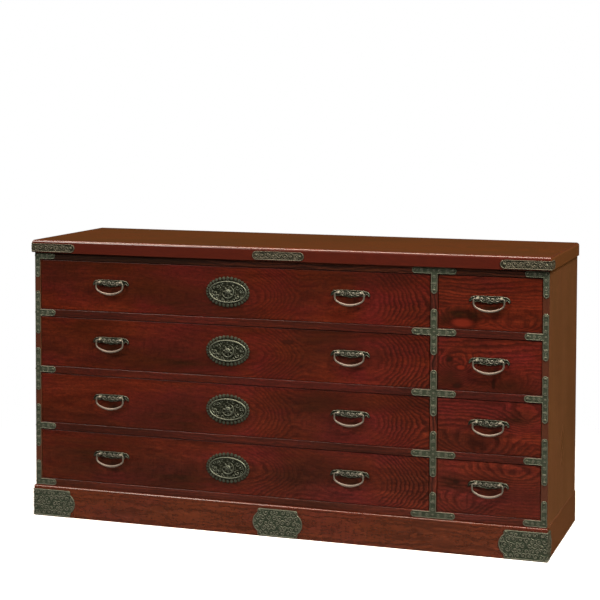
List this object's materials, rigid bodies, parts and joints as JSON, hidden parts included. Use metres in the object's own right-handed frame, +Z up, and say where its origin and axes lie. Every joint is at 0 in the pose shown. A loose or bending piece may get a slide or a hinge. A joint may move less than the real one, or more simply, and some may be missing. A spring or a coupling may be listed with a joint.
{
  "type": "isho clothing chest",
  "caption": "Low, wide Japanese clothing chest of lacquered wood: tiers of long and short drawers, iron bail handles, oval medallions, corner straps, frame brackets and a plinth.",
  "frame": {"origin": "on the floor, in the middle of the overall width and depth", "axes": "+X along the width, towards the short drawers; +Y towards the back; +Z up"},
  "size_m": [1.5064, 0.4572, 0.8],
  "materials": {
    "case_lacquer": "gloss lacquer over open grain",
    "front_lacquer": "gloss red-brown lacquer over bold zelkova grain",
    "paulownia": "bare planed wood",
    "iron_fittings": "blackened, worn on the high edges",
    "bail_iron": "blackened, rubbed bright by use"
  },
  "bodies": {
    "case": {"top_board": "case_lacquer", "left_side_panel": "case_lacquer", "right_side_panel": "case_lacquer", "centre_divider": "case_lacquer", "bottom_board": "paulownia", "back_panel": "paulownia", "top_rail": "case_lacquer", "bottom_rail": "case_lacquer", "drawer_rails": "case_lacquer", "shelf_boards": "paulownia", "plinth_front_board": "case_lacquer", "plinth_frame_boards": "case_lacquer", "plinth_bearers": "paulownia", "top_corner_straps": "iron_fittings", "top_centre_strap": "iron_fittings", "plinth_corner_plates": "iron_fittings", "plinth_centre_plate": "iron_fittings", "side_frame_brackets": "iron_fittings", "divider_brackets": "iron_fittings", "ironwork_nails": "iron_fittings"},
    "long_drawer_1": {"long_drawer_1_front": "front_lacquer", "long_drawer_1_box": "paulownia", "long_drawer_1_handle_plates": "iron_fittings", "long_drawer_1_medallion": "iron_fittings"},
    "long_drawer_1_left_bail": {"long_drawer_1_left_bail": "bail_iron"},
    "long_drawer_1_right_bail": {"long_drawer_1_right_bail": "bail_iron"},
    "long_drawer_2": {"long_drawer_2_front": "front_lacquer", "long_drawer_2_box": "paulownia", "long_drawer_2_handle_plates": "iron_fittings", "long_drawer_2_medallion": "iron_fittings"},
    "long_drawer_2_left_bail": {"long_drawer_2_left_bail": "bail_iron"},
    "long_drawer_2_right_bail": {"long_drawer_2_right_bail": "bail_iron"},
    "long_drawer_3": {"long_drawer_3_front": "front_lacquer", "long_drawer_3_box": "paulownia", "long_drawer_3_handle_plates": "iron_fittings", "long_drawer_3_medallion": "iron_fittings"},
    "long_drawer_3_left_bail": {"long_drawer_3_left_bail": "bail_iron"},
    "long_drawer_3_right_bail": {"long_drawer_3_right_bail": "bail_iron"},
    "long_drawer_4": {"long_drawer_4_front": "front_lacquer", "long_drawer_4_box": "paulownia", "long_drawer_4_handle_plates": "iron_fittings", "long_drawer_4_medallion": "iron_fittings"},
    "long_drawer_4_left_bail": {"long_drawer_4_left_bail": "bail_iron"},
    "long_drawer_4_right_bail": {"long_drawer_4_right_bail": "bail_iron"},
    "short_drawer_1": {"short_drawer_1_front": "front_lacquer", "short_drawer_1_box": "paulownia", "short_drawer_1_handle_plate": "iron_fittings"},
    "short_drawer_1_bail": {"short_drawer_1_bail": "bail_iron"},
    "short_drawer_2": {"short_drawer_2_front": "front_lacquer", "short_drawer_2_box": "paulownia", "short_drawer_2_handle_plate": "iron_fittings"},
    "short_drawer_2_bail": {"short_drawer_2_bail": "bail_iron"},
    "short_drawer_3": {"short_drawer_3_front": "front_lacquer", "short_drawer_3_box": "paulownia", "short_drawer_3_handle_plate": "iron_fittings"},
    "short_drawer_3_bail": {"short_drawer_3_bail": "bail_iron"},
    "short_drawer_4": {"short_drawer_4_front": "front_lacquer", "short_drawer_4_box": "paulownia", "short_drawer_4_handle_plate": "iron_fittings"},
    "short_drawer_4_bail": {"short_drawer_4_bail": "bail_iron"}
  },
  "joints": [
    {"name": "long_drawer_1_slide", "type": "slide", "parent": "case", "child": "long_drawer_1", "axis": [0, -1, 0], "range_m": [0, 0.33]},
    {"name": "long_drawer_1_left_bail_hinge", "type": "hinge", "parent": "long_drawer_1", "child": "long_drawer_1_left_bail", "pos_m": [-0.505, -0.2244, 0.685], "axis": [-1, 0, 0], "range_deg": [-10, 160]},
    {"name": "long_drawer_1_right_bail_hinge", "type": "hinge", "parent": "long_drawer_1", "child": "long_drawer_1_right_bail", "pos_m": [0.205, -0.2244, 0.685], "axis": [-1, 0, 0], "range_deg": [-10, 160]},
    {"name": "long_drawer_2_slide", "type": "slide", "parent": "case", "child": "long_drawer_2", "axis": [0, -1, 0], "range_m": [0, 0.33]},
    {"name": "long_drawer_2_left_bail_hinge", "type": "hinge", "parent": "long_drawer_2", "child": "long_drawer_2_left_bail", "pos_m": [-0.505, -0.2244, 0.521], "axis": [-1, 0, 0], "range_deg": [-10, 160]},
    {"name": "long_drawer_2_right_bail_hinge", "type": "hinge", "parent": "long_drawer_2", "child": "long_drawer_2_right_bail", "pos_m": [0.205, -0.2244, 0.521], "axis": [-1, 0, 0], "range_deg": [-10, 160]},
    {"name": "long_drawer_3_slide", "type": "slide", "parent": "case", "child": "long_drawer_3", "axis": [0, -1, 0], "range_m": [0, 0.33]},
    {"name": "long_drawer_3_left_bail_hinge", "type": "hinge", "parent": "long_drawer_3", "child": "long_drawer_3_left_bail", "pos_m": [-0.505, -0.2244, 0.357], "axis": [-1, 0, 0], "range_deg": [-10, 160]},
    {"name": "long_drawer_3_right_bail_hinge", "type": "hinge", "parent": "long_drawer_3", "child": "long_drawer_3_right_bail", "pos_m": [0.205, -0.2244, 0.357], "axis": [-1, 0, 0], "range_deg": [-10, 160]},
    {"name": "long_drawer_4_slide", "type": "slide", "parent": "case", "child": "long_drawer_4", "axis": [0, -1, 0], "range_m": [0, 0.33]},
    {"name": "long_drawer_4_left_bail_hinge", "type": "hinge", "parent": "long_drawer_4", "child": "long_drawer_4_left_bail", "pos_m": [-0.505, -0.2244, 0.193], "axis": [-1, 0, 0], "range_deg": [-10, 160]},
    {"name": "long_drawer_4_right_bail_hinge", "type": "hinge", "parent": "long_drawer_4", "child": "long_drawer_4_right_bail", "pos_m": [0.205, -0.2244, 0.193], "axis": [-1, 0, 0], "range_deg": [-10, 160]},
    {"name": "short_drawer_1_slide", "type": "slide", "parent": "case", "child": "short_drawer_1", "axis": [0, -1, 0], "range_m": [0, 0.33]},
    {"name": "short_drawer_1_bail_hinge", "type": "hinge", "parent": "short_drawer_1", "child": "short_drawer_1_bail", "pos_m": [0.587, -0.2244, 0.685], "axis": [-1, 0, 0], "range_deg": [-10, 160]},
    {"name": "short_drawer_2_slide", "type": "slide", "parent": "case", "child": "short_drawer_2", "axis": [0, -1, 0], "range_m": [0, 0.33]},
    {"name": "short_drawer_2_bail_hinge", "type": "hinge", "parent": "short_drawer_2", "child": "short_drawer_2_bail", "pos_m": [0.587, -0.2244, 0.521], "axis": [-1, 0, 0], "range_deg": [-10, 160]},
    {"name": "short_drawer_3_slide", "type": "slide", "parent": "case", "child": "short_drawer_3", "axis": [0, -1, 0], "range_m": [0, 0.33]},
    {"name": "short_drawer_3_bail_hinge", "type": "hinge", "parent": "short_drawer_3", "child": "short_drawer_3_bail", "pos_m": [0.587, -0.2244, 0.357], "axis": [-1, 0, 0], "range_deg": [-10, 160]},
    {"name": "short_drawer_4_slide", "type": "slide", "parent": "case", "child": "short_drawer_4", "axis": [0, -1, 0], "range_m": [0, 0.33]},
    {"name": "short_drawer_4_bail_hinge", "type": "hinge", "parent": "short_drawer_4", "child": "short_drawer_4_bail", "pos_m": [0.587, -0.2244, 0.193], "axis": [-1, 0, 0], "range_deg": [-10, 160]}
  ]
}
